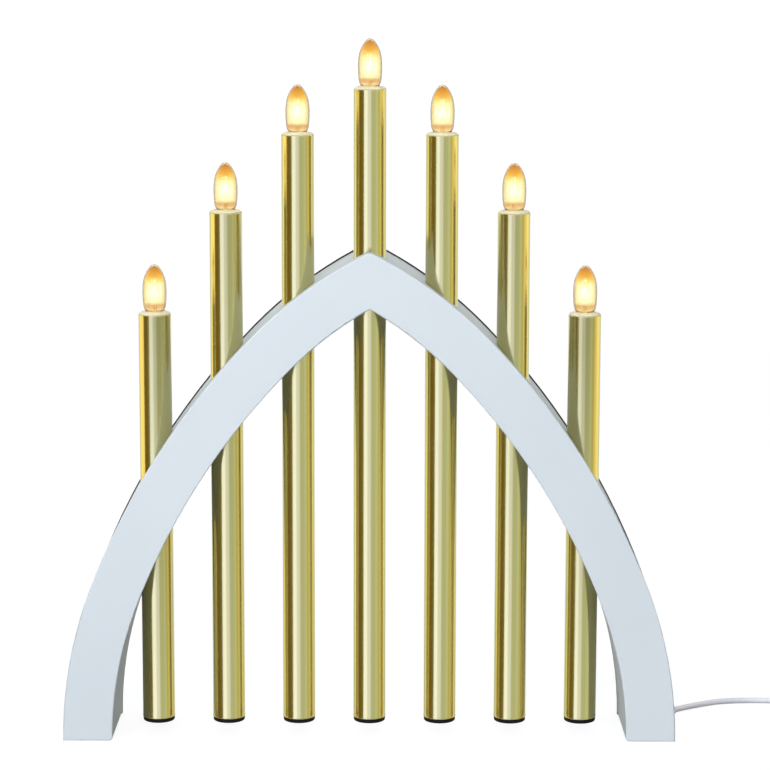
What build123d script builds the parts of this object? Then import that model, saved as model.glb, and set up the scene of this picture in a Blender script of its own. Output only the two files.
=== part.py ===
# Candle arch: a pointed, painted wooden arch that carries seven brass coloured tubes.
# Each tube holds a screw lamp holder and a candle bulb at its top, and a plug at its lower end.
# Lengths are in millimetres and angles in degrees. X runs to the right, Y from the front face
# to the back, Z is up, and the arch stands on the floor at Z = 0.
import os
from math import acos, cos, degrees, pi, radians, sin, sqrt, tan

from build123d import *

# Arch outline, seen from the front: three tangent arcs a side, from the foot to the apex
arch_width = 350.0
foot_radius = 245.0
foot_turn = 20.8
flank_radius = 424.0
flank_turn = 44.1
shoulder_radius = 242.0
arch_band = 28.2
apex_round = 5.0
foot_corner_round = 2.0
paint_edge_round = 0.8

# Arch build-up, from the front to the back
board_thickness = 19.0
cover_thickness = 3.0
cover_overhang = 0.7

# Wiring channel, routed from the back
channel_width = 12.0
channel_depth = 25.0
channel_end_margin = 6.0
wire_hole_radius = 2.6

# Tubes
tube_count = 7
tube_pitch_share = 0.115714
tube_diameter = 18.7
tube_wall = 0.6
tube_edge_round = 0.4
tube_bottom = 10.0
tube_tops = [243.5, 301.0, 344.5, 370.0]
bore_clearance = 0.1

# Black plug in the lower end of a tube
cap_flange = 1.9
cap_flange_inset = 0.3
cap_flange_round = 0.9
cap_spigot = 9.0
cap_wall = 1.3
cap_clearance = 0.1

# Lamp holder in the top of a tube
collar_rise = 1.2
collar_inset = 0.25
collar_round = 0.7
collar_bore_clearance = 0.45
collar_sleeve = 7.0
holder_clearance = 0.1
holder_body_radius = 7.2
holder_depth = 24.0
holder_floor = 4.0
shell_wall = 0.3
shell_length = 11.0
shell_lip = 0.5
contact_radius = 2.2
contact_height = 2.2
contact_seat = 1.4

# Screw bulb
lamp_cap_radius = 4.75
lamp_cap_length = 9.0
lamp_cap_rise = 0.6
lamp_cap_wall = 0.35
lamp_cap_cone = 2.6
lamp_cap_cone_radius = 2.6
lamp_contact_radius = 1.8
lamp_contact_height = 0.9
lamp_gap = 0.25
glass_neck_radius = 4.25
glass_neck_length = 4.0
glass_wall = 0.6
glass_belly_radius = 6.5
glass_belly_height = 10.0
glass_shoulder_radius = 5.3
glass_shoulder_height = 18.8
glass_tip_height = 28.2
glass_tip_radius = 1.5
glass_tip_turn = 25.0
glass_foot_radius = 4.7
stem_radius = 1.5
stem_height = 4.5
support_radius = 0.25
support_spread = 1.6
support_foot = 3.0
filament_height = 15.5

# Back cover screws
screw_head_radius = 2.6
screw_head_depth = 1.5
screw_shank_radius = 1.25
screw_length = 14.0
screw_clearance = 0.05
screw_edge = 4.1
screw_slot_width = 0.6
screw_slot_depth = 0.5
screw_place_shares = [0.06, 0.30, 0.55, 0.80]

# Wires inside
wire_radius = 0.8
wire_spread = 1.5
wire_bend = 3.0
link_depth = 4.0
return_depth = 17.0
return_share = 0.27

# Mains lead, its bush and its clamp
lead_radius = 1.7
lead_height = 3.5
lead_angle = 42.0
lead_inner_bend = 6.0
lead_knee = 18.0
lead_inner_end = 44.0
lead_join_inset = 1.5
lead_inner_depth = 5.8
bush_inside = 13.0
bush_outside = 7.0
bush_root_radius = 3.2
bush_tip_radius = 2.3
bush_clearance = 0.1
lead_bore_clearance = 0.05
clamp_height = 12.0
clamp_level = 22.0
clamp_depth = 13.0
clamp_clearance = 0.2
clamp_screw_radius = 1.0
clamp_screw_head_radius = 1.9
clamp_screw_head_depth = 1.2
clamp_screw_length = 17.0
clamp_screw_offset = 3.5

# Coil of the put-away lead: turns of cord in layers, counted in half turns
coil_centre_x = 278.0
coil_centre_y = 24.6
coil_outer_radius = 26.4
coil_pitch = 4.05
coil_half_turns = [6, 5, 5, 5]
floor_gap = 0.05

# Route of the lead from its bush to the coil, and of its tail from the coil to the plug
lead_first_run = 14.0
lead_route = [
    (196.0, 42.4, 1.75),
    (209.5, 50.4, 1.75),
    (226.0, 52.9, 1.75),
    (245.0, 52.2, 1.75),
    (262.0, 51.0, 1.75),
]
tail_route = [
    (290.0, 48.975, 13.9),
    (302.5, 45.5, 11.0),
    (312.0, 36.5, 8.2),
    (315.5, 24.0, 6.9),
    (315.5, 11.5, 6.9),
]

# Flat two-pin plug
plug_width = 35.3
plug_rear_width = 13.0
plug_thickness = 13.7
plug_rear_thickness = 10.0
plug_length = 37.0
plug_taper_length = 23.0
plug_edge_round = 2.0
plug_boot_length = 14.0
plug_boot_radius = 4.2
plug_boot_tip_radius = 2.6
pin_spacing = 18.6
pin_radius = 2.0
pin_length = 19.0
pin_root = 8.0
pin_clearance = 0.02

# One overrun for every cut
overrun = 5.0

# Bars and cones begin or end at their own origin
rising = (Align.CENTER, Align.CENTER, Align.MIN)
hanging = (Align.CENTER, Align.CENTER, Align.MAX)

# Sizes that follow from the ones above
arch_depth = 3 * board_thickness + cover_thickness
front_y = -arch_depth / 2
tube_y = front_y + board_thickness
rear_board_y = front_y + 2 * board_thickness
cover_y = front_y + 3 * board_thickness
back_y = arch_depth / 2
channel_y = cover_y - channel_depth
tube_pitch = arch_width * tube_pitch_share
tube_radius = tube_diameter / 2
tube_inner_radius = tube_radius - tube_wall
bore_radius = tube_radius + bore_clearance
shell_inner_radius = lamp_cap_radius + lamp_gap
shell_outer_radius = shell_inner_radius + shell_wall
holder_bore_radius = shell_outer_radius + holder_clearance
side_x = arch_width / 2


def arch_arcs(inset):
    # Centre x, centre z, radius, start and end angle of the right side's arcs at an inset
    foot_x = side_x - foot_radius
    flank_x = foot_x + (foot_radius - flank_radius) * cos(radians(foot_turn))
    flank_z = (foot_radius - flank_radius) * sin(radians(foot_turn))
    shoulder_x = flank_x + (flank_radius - shoulder_radius) * cos(radians(flank_turn))
    shoulder_z = flank_z + (flank_radius - shoulder_radius) * sin(radians(flank_turn))
    apex_turn = degrees(acos(-shoulder_x / (shoulder_radius - inset)))
    return [
        (foot_x, 0, foot_radius - inset, 0, foot_turn),
        (flank_x, flank_z, flank_radius - inset, foot_turn, flank_turn),
        (shoulder_x, shoulder_z, shoulder_radius - inset, flank_turn, apex_turn),
    ]


def arch_height_at(inset, x):
    # Height of the curve at an inset, above a place x that is measured from the middle
    x = abs(x)
    for centre_x, centre_z, radius, start, end in arch_arcs(inset):
        height = centre_z + sqrt(radius**2 - (x - centre_x) ** 2)
        if x >= centre_x + radius * cos(radians(end)):
            return height
    return height


def leg_x(inset, z):
    # Place x of the right leg's curve at an inset, at a height within its lowest arc
    centre_x, _, radius, _, _ = arch_arcs(inset)[0]
    return centre_x + sqrt(radius**2 - z**2)


def arch_point(inset, share):
    # Point at a share of the way from the foot to the apex, along the right side
    arcs = arch_arcs(inset)
    lengths = [radius * radians(end - start) for _, _, radius, start, end in arcs]
    left = share * sum(lengths)
    for (centre_x, centre_z, radius, start, end), length in zip(arcs, lengths):
        if left <= length:
            angle = radians(start + degrees(left / radius))
            return centre_x + radius * cos(angle), centre_z + radius * sin(angle)
        left -= length
    return 0, arch_height_at(inset, 0)


def side_edges(inset):
    # Both sides' arcs at one inset, as edges in the outline's own plane
    right = [
        CenterArc((cx, cz), radius, start, end - start)
        for cx, cz, radius, start, end in arch_arcs(inset)
    ]
    left = [edge.mirror(Plane.YZ) for edge in right]
    return right + left


def band_face(outer_inset, inner_inset):
    # Flat pointed band that stands on the floor line
    outer_foot = side_x - outer_inset
    inner_foot = side_x - inner_inset
    floor_right = Line((inner_foot, 0), (outer_foot, 0))
    floor_left = Line((-outer_foot, 0), (-inner_foot, 0))
    edges = side_edges(outer_inset) + side_edges(inner_inset) + [floor_right, floor_left]
    return make_face(edges)


def slab(face, y_front, y_back):
    # Flat outline made solid between two depths
    plane = Plane(origin=(0, y_back, 0), x_dir=(1, 0, 0), z_dir=(0, -1, 0))
    return extrude(plane * face, amount=y_back - y_front)


def upright(radius, x, y, z_low, z_high):
    # Round bar along Z
    return Pos(x, y, z_low) * Cylinder(radius, z_high - z_low, align=rising)


def tube_x(index):
    # Place of a tube's axis, counted from the left
    return (index - (tube_count - 1) / 2) * tube_pitch


def tube_top(index):
    # Height of a tube's upper rim: the two sides match
    return tube_tops[min(index, tube_count - 1 - index)]


def middle_height(index):
    # Height at which a tube crosses the middle of the arch's band
    return arch_height_at(arch_band / 2, tube_x(index))


def arch_outline():
    # Outline of the three boards, with its apex and inner foot corners softened
    face = band_face(0, arch_band)
    apex = face.vertices().sort_by(Axis.Y)[-1]
    face = fillet(apex, apex_round)
    inner_foot = side_x - arch_band
    corners = [
        v for v in face.vertices() if abs(v.Y) < overrun / 2 and abs(abs(v.X) - inner_foot) < overrun / 2
    ]
    return fillet(corners, foot_corner_round)


def tube_bores():
    # Upright bores for all the tubes
    top = arch_height_at(0, 0) + overrun
    return [upright(bore_radius, tube_x(i), tube_y, -overrun, top) for i in range(tube_count)]


def channel():
    # Wiring channel along the middle of the band, from the first tube to the right foot
    middle = arch_band / 2
    band = band_face(middle - channel_width / 2, middle + channel_width / 2)
    groove = slab(band, channel_y, cover_y + overrun)
    left_end = tube_x(0) - tube_radius - channel_end_margin
    top = arch_height_at(0, 0) + overrun
    keep = Pos(left_end, channel_y - overrun, -overrun) * Box(
        2 * arch_width, arch_depth, top + 2 * overrun, align=Align.MIN
    )
    return groove & keep


def wire_holes():
    # Holes from the tubes back into the channel
    length = channel_y + overrun - tube_y
    holes = []
    for i in range(tube_count):
        place = Plane(origin=(tube_x(i), tube_y, middle_height(i)), x_dir=(1, 0, 0), z_dir=(0, 1, 0))
        holes.append(place * Cylinder(wire_hole_radius, length, align=rising))
    return holes


def lead_direction():
    # Way in which the lead leaves the foot
    return Vector(cos(radians(lead_angle)), sin(radians(lead_angle)), 0)


def lead_exit():
    # Point of the foot's side face where the lead's axis comes out
    return lead_bend() + lead_direction() * (arch_band / 2) / lead_direction().X


def lead_join():
    # Point just inside the foot where the lead's inner end meets its free stretch
    return lead_exit() - lead_direction() * lead_join_inset


def lead_bend():
    # Point in the channel where the lead turns up the leg
    return Vector(side_x - arch_band / 2, channel_y + lead_inner_depth, lead_height)


def lead_plane(along):
    # Plane across the lead's axis, at a distance along it from the side face
    return Plane(origin=lead_exit() + lead_direction() * along, x_dir=(0, 0, 1), z_dir=lead_direction())


def cord_notch():
    # Round-topped notch under the foot that the bush sits in, open at the floor
    width = 2 * (bush_root_radius + bush_clearance)
    length = bush_inside + overrun
    round_top = lead_plane(-bush_inside) * Cylinder(
        width / 2, length, align=rising
    )
    drop = lead_height + overrun
    box = lead_plane(-bush_inside) * Pos(-drop / 2, 0, length / 2) * Box(drop, width, length)
    return round_top + box


def screw_places():
    # Places of the back cover's screws, in x and z, on both sides
    places = []
    for share in screw_place_shares:
        x, z = arch_point(screw_edge, share)
        places += [(x, z), (-x, z)]
    return places


def screw_cutter(x, z):
    # Countersink and hole for one cover screw, from the back
    plane = Plane(origin=(x, back_y, z), x_dir=(1, 0, 0), z_dir=(0, -1, 0))
    hole = Cylinder(
        screw_shank_radius + screw_clearance, screw_length + overrun, align=rising
    )
    sink = Cone(
        screw_head_radius + screw_clearance,
        screw_shank_radius + screw_clearance,
        screw_head_depth,
        align=rising,
    )
    return plane * (hole + sink)


def screw(x, z):
    # Countersunk wood screw with a slot, its head flush with the cover
    plane = Plane(origin=(x, back_y, z), x_dir=(1, 0, 0), z_dir=(0, -1, 0))
    shank = Cylinder(screw_shank_radius, screw_length, align=rising)
    head = Cone(
        screw_head_radius, screw_shank_radius, screw_head_depth, align=rising
    )
    slot = Box(2 * screw_head_radius, screw_slot_width, 2 * screw_slot_depth)
    return plane * (shank + head - slot)


def front_board():
    # Board with the show face, grooved behind for the front half of each tube
    board = slab(arch_outline(), front_y, tube_y)
    front_edges = board.faces().sort_by(Axis.Y)[0].edges()
    board = fillet(front_edges, paint_edge_round)
    return board - tube_bores()


def middle_board():
    # Board with the rear half of each tube's groove and the bottom of the channel
    board = slab(arch_outline(), tube_y, rear_board_y)
    board = board - tube_bores() - wire_holes() - channel() - cord_notch()
    return board - [clamp_screw_cutter(side) for side in (-1, 1)]


def rear_board():
    # Board that the channel is routed right through
    board = slab(arch_outline(), rear_board_y, cover_y)
    board = board - channel() - cord_notch()
    return board - [screw_cutter(x, z) for x, z in screw_places()]


def back_cover():
    # Thin dark board that closes the channel and stands a little proud of the arch
    face = band_face(-cover_overhang, arch_band)
    apex = face.vertices().sort_by(Axis.Y)[-1]
    cover = slab(fillet(apex, apex_round), cover_y, back_y)
    return cover - [screw_cutter(x, z) for x, z in screw_places()]


def cover_screws():
    # All the screws of the back cover
    return Compound(children=[screw(x, z) for x, z in screw_places()])


def tube(index):
    # Thin brass coloured tube, its ends slightly rounded, with a hole for the wires
    low, high = tube_bottom, tube_top(index)
    body = upright(tube_radius, tube_x(index), tube_y, low, high)
    body = fillet(body.edges().filter_by(GeomType.CIRCLE), tube_edge_round)
    body -= upright(tube_inner_radius, tube_x(index), tube_y, low - overrun, high + overrun)
    return body - wire_holes()[index]


def tube_cap(index):
    # Black plug: a rounded flange under the tube's end and a hollow spigot inside it
    x = tube_x(index)
    flange = upright(tube_radius - cap_flange_inset, x, tube_y, tube_bottom - cap_flange, tube_bottom)
    lower_edge = flange.edges().filter_by(GeomType.CIRCLE).sort_by(Axis.Z)[0]
    flange = fillet(lower_edge, cap_flange_round)
    spigot_radius = tube_inner_radius - cap_clearance
    spigot = upright(spigot_radius, x, tube_y, tube_bottom, tube_bottom + cap_spigot)
    hollow = upright(spigot_radius - cap_wall, x, tube_y, tube_bottom, tube_bottom + cap_spigot + overrun)
    return flange + (spigot - hollow)


def holder(index):
    # Lamp holder: collar on the rim, sleeve in the tube and a deep bore for the shell
    x, rim = tube_x(index), tube_top(index)
    collar = upright(tube_radius - collar_inset, x, tube_y, rim, rim + collar_rise)
    collar = fillet(collar.edges().filter_by(GeomType.CIRCLE).sort_by(Axis.Z)[-1], collar_round)
    sleeve = upright(tube_inner_radius - holder_clearance, x, tube_y, rim - collar_sleeve, rim)
    body = upright(holder_body_radius, x, tube_y, rim - holder_depth, rim - collar_sleeve)
    mouth_radius = lamp_cap_radius + collar_bore_clearance
    mouth = upright(mouth_radius, x, tube_y, rim - overrun, rim + collar_rise + overrun)
    bore = upright(holder_bore_radius, x, tube_y, rim - holder_depth + holder_floor, rim - shell_lip)
    solid = collar + sleeve + body - mouth - bore
    return solid


def lamp_bottom(index):
    # Height of the lowest point of a screwed-in bulb
    top = tube_top(index) + lamp_cap_rise
    return top - lamp_cap_length - lamp_cap_cone - lamp_contact_height


def shell_and_contact(index):
    # Threaded metal shell of a holder, and the contact under the bulb
    x, rim = tube_x(index), tube_top(index)
    high = rim - shell_lip - holder_clearance
    low = high - shell_length
    shell = upright(shell_outer_radius, x, tube_y, low, high)
    shell -= upright(shell_inner_radius, x, tube_y, low - overrun, high + overrun)
    floor = rim - holder_depth + holder_floor
    contact = upright(contact_radius, x, tube_y, floor, lamp_bottom(index) - lamp_gap)
    return [shell, contact]


def socket_shells():
    # The shells and contacts of all the holders
    return Compound(children=[piece for i in range(tube_count) for piece in shell_and_contact(i)])


def turned(points_and_arcs, x, rim):
    # Solid turned about the axis of a bulb, from the edges of half its section
    face = make_face(points_and_arcs)
    plane = Plane(origin=(x, tube_y, rim), x_dir=(1, 0, 0), z_dir=(0, -1, 0))
    return revolve(plane * face, Axis((x, tube_y, rim), (0, 0, 1)))


def glass_half(wall):
    # Edges of half of the bulb's section, moved in by a wall
    foot = (glass_foot_radius - wall, lamp_cap_rise)
    belly = (glass_belly_radius - wall, glass_belly_height)
    shoulder = (glass_shoulder_radius - wall, glass_shoulder_height)
    crown = glass_tip_height - wall - glass_tip_radius
    lean = radians(glass_tip_turn)
    tip_side = (glass_tip_radius * cos(lean), crown + glass_tip_radius * sin(lean))
    tip_mid_turn = (lean + pi / 2) / 2
    tip_mid = (glass_tip_radius * cos(tip_mid_turn), crown + glass_tip_radius * sin(tip_mid_turn))
    neck = glass_neck_radius - wall
    bottom = lamp_cap_rise - glass_neck_length
    belly_arc = ThreePointArc(foot, belly, shoulder)
    cone_arc = TangentArc([shoulder, tip_side], tangent=belly_arc % 1)
    tip_arc = ThreePointArc(tip_side, tip_mid, (0, crown + glass_tip_radius))
    return [
        Line((0, bottom), (neck, bottom)),
        Line((neck, bottom), (neck, lamp_cap_rise)),
        Line((neck, lamp_cap_rise), foot),
        belly_arc,
        cone_arc,
        tip_arc,
        Line((0, crown + glass_tip_radius), (0, bottom)),
    ]


def bulb_glass(index):
    # Clear candle-shaped envelope, open at its neck
    x, rim = tube_x(index), tube_top(index)
    outer = turned(glass_half(0), x, rim)
    inner = turned(glass_half(glass_wall), x, rim)
    neck_hole = upright(
        glass_neck_radius - glass_wall, x, tube_y, rim + lamp_cap_rise - glass_neck_length - overrun, rim
    )
    return outer - inner - neck_hole


def bulb_base(index):
    # Metal lamp cap with its insulating cone and its contact
    x, top = tube_x(index), tube_top(index) + lamp_cap_rise
    skirt = upright(lamp_cap_radius, x, tube_y, top - lamp_cap_length, top)
    well_floor = top - glass_neck_length - lamp_cap_wall
    well = upright(lamp_cap_radius - lamp_cap_wall, x, tube_y, well_floor, top + overrun)
    cone = Pos(x, tube_y, top - lamp_cap_length) * Cone(
        lamp_cap_cone_radius, lamp_cap_radius, lamp_cap_cone, align=hanging
    )
    low = lamp_bottom(index)
    contact = upright(lamp_contact_radius, x, tube_y, low, low + lamp_contact_height)
    contact = fillet(contact.edges().filter_by(GeomType.CIRCLE).sort_by(Axis.Z)[0], lamp_contact_height / 2)
    return skirt - well + cone + contact


def bulb_filament(index):
    # Glass stem, its two support wires and the filament's inverted V, as one solid
    x, top = tube_x(index), tube_top(index) + lamp_cap_rise
    stem = upright(stem_radius, x, tube_y, top - glass_neck_length - lamp_cap_wall, top + stem_height)
    solid = stem
    peak = Vector(x, tube_y, top + filament_height)
    for side in (-1, 1):
        low = Vector(x + side * support_spread / 2, tube_y, top + support_foot)
        leg = peak - low
        plane = Plane(origin=low, z_dir=leg)
        solid += plane * Cylinder(support_radius, leg.length, align=rising)
    return solid + Pos(peak) * Sphere(support_radius)


def route_radii(points):
    # Largest even arcs for a route's corners: 0.45 of the shorter run over the half turn's tangent
    radii = []
    for before, corner, after in zip(points, points[1:], points[2:]):
        run_in = corner - before
        run_out = after - corner
        half_turn = radians(run_in.get_angle(run_out)) / 2
        radii.append(0.45 * min(run_in.length, run_out.length) / tan(half_turn))
    return radii


def pipe(path, radius):
    # Round bar along a path of runs and tangent arcs
    start = path @ 0
    return sweep(Plane(origin=start, z_dir=path % 0) * Circle(radius), path=path)


def free_cord(name, points):
    # Free stretch of the lead along its route, with its radii and its volume printed
    vectors = [Vector(p) for p in points]
    radii = route_radii(vectors)
    path = FilletPolyline(*vectors, radius=radii)
    solid = pipe(path, lead_radius)
    ideal = pi * lead_radius**2 * path.length
    print(name, "length", round(path.length, 1), "radii", [round(r, 1) for r in radii])
    print(name, "volume over section times length", round(solid.volume / ideal, 5))
    return solid


def inner_lead_end():
    # Upper end of the lead, past its clamp
    return Vector(leg_x(arch_band / 2, lead_inner_end), lead_bend().Y, lead_inner_end)


def inner_lead_knee():
    # Point below the clamp where the lead turns to follow the leg
    return Vector(leg_x(arch_band / 2, lead_knee), lead_bend().Y, lead_knee)


def link_wire(first, second, height_first, height_second):
    # Wire from one holder down its tube, along the channel and up to the next holder
    y = channel_y + link_depth
    points = [
        Vector(first, tube_y, height_first[1]),
        Vector(first, tube_y, height_first[0]),
        Vector(first, y, height_first[0]),
        Vector(second, y, height_second[0]),
        Vector(second, tube_y, height_second[0]),
        Vector(second, tube_y, height_second[1]),
    ]
    return pipe(FilletPolyline(*points, radius=wire_bend), wire_radius)


def wiring():
    # Series wires from holder to holder, the two ends down to the lead, and the lead's inner end
    pieces = []
    ends = [(middle_height(i), tube_top(i) - holder_depth - holder_clearance) for i in range(tube_count)]
    for i in range(tube_count - 1):
        pieces.append(link_wire(tube_x(i) + wire_spread, tube_x(i + 1) - wire_spread, ends[i], ends[i + 1]))
    bend = lead_bend()
    end = inner_lead_end()
    inner_path = FilletPolyline(lead_join(), bend, inner_lead_knee(), end, radius=lead_inner_bend)
    pieces.append(pipe(inner_path, lead_radius))
    join = end + Vector(0, 0, wire_radius / 4)
    back = channel_y + return_depth
    run = [Vector(tube_x(0) - wire_spread, tube_y, ends[0][1])]
    run.append(Vector(tube_x(0) - wire_spread, tube_y, ends[0][0]))
    run.append(Vector(tube_x(0) - wire_spread, back, ends[0][0]))
    run += [Vector(tube_x(i), back, middle_height(i)) for i in range(1, tube_count)]
    low_x, low_z = arch_point(arch_band / 2, return_share)
    run.append(Vector(low_x, (back + join.Y) / 2, low_z))
    run.append(join + Vector(-wire_radius, wire_radius, 0))
    pieces.append(pipe(FilletPolyline(*run, radius=wire_bend), wire_radius))
    last = tube_count - 1
    feed = [
        Vector(tube_x(last) + wire_spread, tube_y, ends[last][1]),
        Vector(tube_x(last) + wire_spread, tube_y, ends[last][0]),
        Vector(tube_x(last) + wire_spread, channel_y + link_depth, ends[last][0]),
        Vector(low_x, channel_y + link_depth, low_z),
        join + Vector(wire_radius, -wire_radius, 0),
    ]
    pieces.append(pipe(FilletPolyline(*feed, radius=wire_bend), wire_radius))
    return Compound(children=pieces)


def cord_bush():
    # Tapered bush in the foot's notch that the lead comes out of
    inside = lead_plane(-bush_inside) * Cylinder(
        bush_root_radius, bush_inside, align=rising
    )
    outside = lead_plane(0) * Cone(
        bush_root_radius, bush_tip_radius, bush_outside, align=rising
    )
    length = bush_inside + bush_outside + 2 * overrun
    bore = lead_plane(-bush_inside - overrun) * Cylinder(
        lead_radius + lead_bore_clearance, length, align=rising
    )
    return inside + outside - bore


def clamp_place():
    # Centre of the lead's clamp in the channel
    return Vector(leg_x(arch_band / 2, clamp_level + clamp_height / 2), lead_bend().Y, clamp_level)


def cord_clamp():
    # Block on the bottom of the channel that grips the lead
    place = clamp_place()
    inset = (arch_band - channel_width) / 2 + clamp_clearance
    block = slab(band_face(inset, arch_band - inset), channel_y, channel_y + clamp_depth)
    block &= Pos(place.X, channel_y, clamp_level) * Box(
        2 * channel_width, clamp_depth, clamp_height, align=(Align.CENTER, Align.MIN, Align.MIN)
    )
    path = inner_lead_end() - inner_lead_knee()
    bore = Plane(origin=inner_lead_knee(), z_dir=path) * Cylinder(
        lead_radius + lead_bore_clearance, path.length, align=rising
    )
    return block - bore - [clamp_screw_cutter(side) for side in (-1, 1)]


def clamp_screw_plane(side):
    # Plane of a clamp screw's head, on the back of the clamp
    place = clamp_place()
    origin = (place.X + side * clamp_screw_offset, channel_y + clamp_depth, clamp_level + clamp_height / 2)
    return Plane(origin=origin, x_dir=(1, 0, 0), z_dir=(0, -1, 0))


def clamp_screw_cutter(side):
    # Hole for a clamp screw
    radius = clamp_screw_radius + screw_clearance
    return clamp_screw_plane(side) * Cylinder(
        radius, clamp_screw_length + overrun, align=rising
    )


def clamp_screw(side):
    # Pan-headed screw through the clamp into the middle board
    shank = Cylinder(clamp_screw_radius, clamp_screw_length, align=rising)
    head = Cylinder(clamp_screw_head_radius, clamp_screw_head_depth, align=hanging)
    return clamp_screw_plane(side) * (shank + head)


def coil_points():
    # Points and directions of the wound lead at each half turn, clockwise as seen from above
    radius = coil_outer_radius
    height = lead_radius + floor_gap
    angle = pi / 2
    inward = True
    nodes = []
    slopes = []
    for layer, halves in enumerate(coil_half_turns):
        step = -coil_pitch / 2 if inward else coil_pitch / 2
        for half in range(halves):
            nodes.append((angle, radius, height, step / pi))
            angle -= pi
            radius += step
        nodes.append((angle, radius, height, step / pi))
        if layer < len(coil_half_turns) - 1:
            angle -= pi
            height += coil_pitch
            inward = not inward
    nodes[0] = (*nodes[0][:3], 0)
    nodes[-1] = (*nodes[-1][:3], 0)
    for a, r, z, slope in nodes:
        place = Vector(coil_centre_x + r * cos(a), coil_centre_y + r * sin(a), z)
        way = Vector(r * sin(a) + slope * cos(a), slope * sin(a) - r * cos(a), 0).normalized()
        slopes.append((place, way))
    turns = (pi / 2 - angle) / (2 * pi)
    print("coil turns", round(turns, 2), "over", len(slopes), "half turn points")
    return slopes


def biarc(start, start_way, end, end_way):
    # Two tangent arcs between two points with given directions
    span = end - start
    both = start_way + end_way
    bend = 2 * (1 - start_way.dot(end_way))
    reach = (sqrt(span.dot(both) ** 2 + bend * span.dot(span)) - span.dot(both)) / bend
    first = start + start_way * reach
    second = end - end_way * reach
    middle = (first + second) / 2
    way = (second - first).normalized()
    return [TangentArc([start, middle], tangent=start_way), TangentArc([middle, end], tangent=way)]


def coil_path():
    # Unbroken path of the coil
    nodes = coil_points()
    arcs = []
    for (start, start_way), (end, end_way) in zip(nodes, nodes[1:]):
        arcs += biarc(start, start_way, end, end_way)
    return Wire(arcs), nodes


def least_self_gap(path, radius):
    # Least clear space between turns, from points along the path
    count = 1600
    points = [path @ (k / count) for k in range(count + 1)]
    step = path.length / count
    apart = int(coil_outer_radius * 2 / step)
    least = min(
        (points[a] - points[b]).length
        for a in range(0, count + 1, 2)
        for b in range(a + apart, count + 1)
        if abs(points[a].Z - points[b].Z) < 2 * coil_pitch
    )
    return least - 2 * radius


def cord_coil():
    # The put-away length of the lead, wound in layers
    path, _ = coil_path()
    solid = pipe(path, lead_radius)
    ideal = pi * lead_radius**2 * path.length
    print("coil length", round(path.length, 1))
    print("coil volume over section times length", round(solid.volume / ideal, 5))
    print("coil least gap between turns", round(least_self_gap(path, lead_radius), 3))
    return solid


def coil_ends():
    # First and last point of the coil
    nodes = coil_points()
    return nodes[0][0], nodes[-1][0]


def cord_lead():
    # Free stretch from the foot's notch, through the bush, to the coil
    first = lead_join() + lead_direction() * lead_first_run
    start, _ = coil_ends()
    return free_cord("lead", [lead_join(), first] + lead_route + [start])


def cord_tail():
    # Free stretch from the coil to the plug
    _, end = coil_ends()
    return free_cord("tail", [end] + tail_route)


def plug_place():
    # Place of the plug: its boot begins at the lead's end, and its pins point to the front
    x, y, _ = tail_route[-1]
    return Pos(x, y, plug_thickness / 2 + floor_gap) * Rot(0, 0, 180)


def plug_body():
    # Flat two-pin plug: plan and side outlines crossed, with a tapered boot
    rear = plug_boot_length
    half, half_rear = plug_width / 2, plug_rear_width / 2
    full = rear + plug_length
    taper = rear + plug_taper_length
    plan_right = [(half_rear, rear), (half, taper), (half, full)]
    plan_left = [(-x, y) for x, y in reversed(plan_right)]
    plan = make_face(Polyline(*plan_right, *plan_left, close=True))
    body = extrude(plan, amount=plug_thickness / 2, both=True)
    body = fillet(body.edges().filter_by(Axis.Z), plug_edge_round)
    thin, thick = plug_rear_thickness / 2, plug_thickness / 2
    side_upper = [(rear, thin), (taper, thick), (full, thick)]
    side_lower = [(y, -z) for y, z in reversed(side_upper)]
    side = make_face(Polyline(*side_upper, *side_lower, close=True))
    body &= extrude(Plane.YZ * side, amount=plug_width, both=True)
    boot = Plane(origin=(0, 0, 0), x_dir=(1, 0, 0), z_dir=(0, 1, 0)) * Cone(
        plug_boot_tip_radius, plug_boot_radius, rear, align=rising
    )
    holes = [pin_bar(side_sign, pin_radius + pin_clearance, pin_root) for side_sign in (-1, 1)]
    return plug_place() * (body + boot - holes)


def pin_bar(side_sign, radius, root):
    # One round pin of the plug, from its root inside the body
    face = plug_boot_length + plug_length
    plane = Plane(origin=(side_sign * pin_spacing / 2, face - root, 0), x_dir=(1, 0, 0), z_dir=(0, 1, 0))
    return plane * Cylinder(radius, root + pin_length, align=rising)


def plug_pins():
    # The two pins
    place = plug_place()
    return Compound(children=[place * pin_bar(side_sign, pin_radius, pin_root) for side_sign in (-1, 1)])


def build():
    # Every node of the model by name
    nodes = {
        "arch_front_board": front_board(),
        "arch_middle_board": middle_board(),
        "arch_rear_board": rear_board(),
        "back_cover": back_cover(),
        "cover_screws": cover_screws(),
        "socket_shells": socket_shells(),
        "wiring": wiring(),
        "cord_bush": cord_bush(),
        "cord_clamp": cord_clamp(),
        "clamp_screws": Compound(children=[clamp_screw(side) for side in (-1, 1)]),
        "cord_lead": cord_lead(),
        "cord_coil": cord_coil(),
        "cord_tail": cord_tail(),
        "plug_body": plug_body(),
        "plug_pins": plug_pins(),
    }
    for index in range(tube_count):
        number = index + 1
        nodes[f"tube_{number}"] = tube(index)
        nodes[f"tube_cap_{number}"] = tube_cap(index)
        nodes[f"lamp_holder_{number}"] = holder(index)
        nodes[f"bulb_glass_{number}"] = bulb_glass(index)
        nodes[f"bulb_base_{number}"] = bulb_base(index)
        nodes[f"bulb_filament_{number}"] = bulb_filament(index)
    return nodes


os.makedirs("parts", exist_ok=True)
for node_name, solid in build().items():
    export_step(solid, f"parts/{node_name}.step")
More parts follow.
